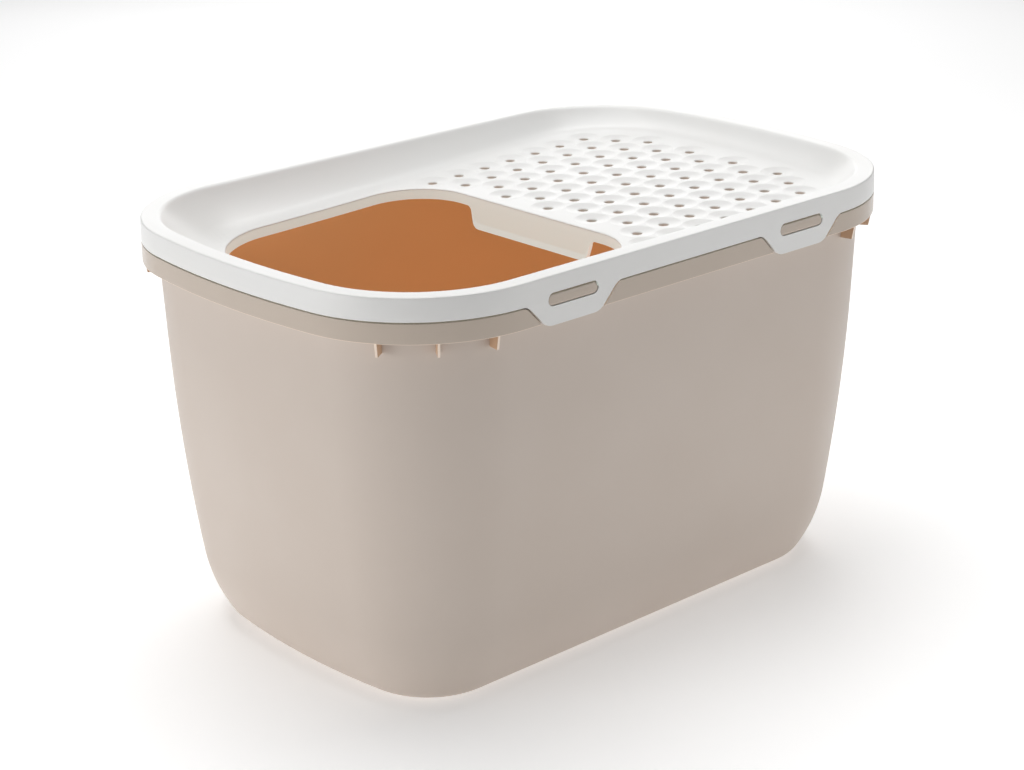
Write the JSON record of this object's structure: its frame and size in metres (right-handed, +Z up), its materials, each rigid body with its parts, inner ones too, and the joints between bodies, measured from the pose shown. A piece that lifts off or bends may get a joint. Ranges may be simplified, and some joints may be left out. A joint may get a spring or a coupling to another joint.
{
  "type": "top entry litter box",
  "caption": "Deep tapered litter tub with a dished lid that has a large entry opening, a dimpled perforated tread and snap latches.",
  "frame": {"origin": "middle of the base on the floor", "axes": "+Z up, +X along the length from the entry opening towards the perforated tread, +Y across, away from the pictured long side"},
  "size_m": [0.585, 0.391, 0.343],
  "materials": {
    "tub_plastic": "satin injection-moulded polypropylene in warm beige, with a glossier rim band",
    "lid_plastic": "smooth semi-gloss injection-moulded polypropylene in white"
  },
  "bodies": {
    "tub": {"tub": "tub_plastic"},
    "lid": {"lid": "lid_plastic"},
    "latch_front_left": {"latch_front_left": "lid_plastic"},
    "latch_front_right": {"latch_front_right": "lid_plastic"},
    "latch_rear_left": {"latch_rear_left": "lid_plastic"},
    "latch_rear_right": {"latch_rear_right": "lid_plastic"}
  },
  "joints": [
    {"name": "lid_lift", "type": "slide", "parent": "tub", "child": "lid", "axis": [0, 0, 1], "range_m": [0, 0.08]},
    {"name": "latch_front_left_flex", "type": "hinge", "parent": "lid", "child": "latch_front_left", "pos_m": [-0.124, -0.1955, 0.3251], "axis": [-1, 0, 0], "range_deg": [0, 10], "stiffness_Nm_per_rad": 0.5},
    {"name": "latch_front_right_flex", "type": "hinge", "parent": "lid", "child": "latch_front_right", "pos_m": [0.124, -0.1955, 0.3251], "axis": [-1, 0, 0], "range_deg": [0, 10], "stiffness_Nm_per_rad": 0.5},
    {"name": "latch_rear_left_flex", "type": "hinge", "parent": "lid", "child": "latch_rear_left", "pos_m": [-0.124, 0.1955, 0.3251], "axis": [1, 0, 0], "range_deg": [0, 10], "stiffness_Nm_per_rad": 0.5},
    {"name": "latch_rear_right_flex", "type": "hinge", "parent": "lid", "child": "latch_rear_right", "pos_m": [0.124, 0.1955, 0.3251], "axis": [1, 0, 0], "range_deg": [0, 10], "stiffness_Nm_per_rad": 0.5}
  ]
}
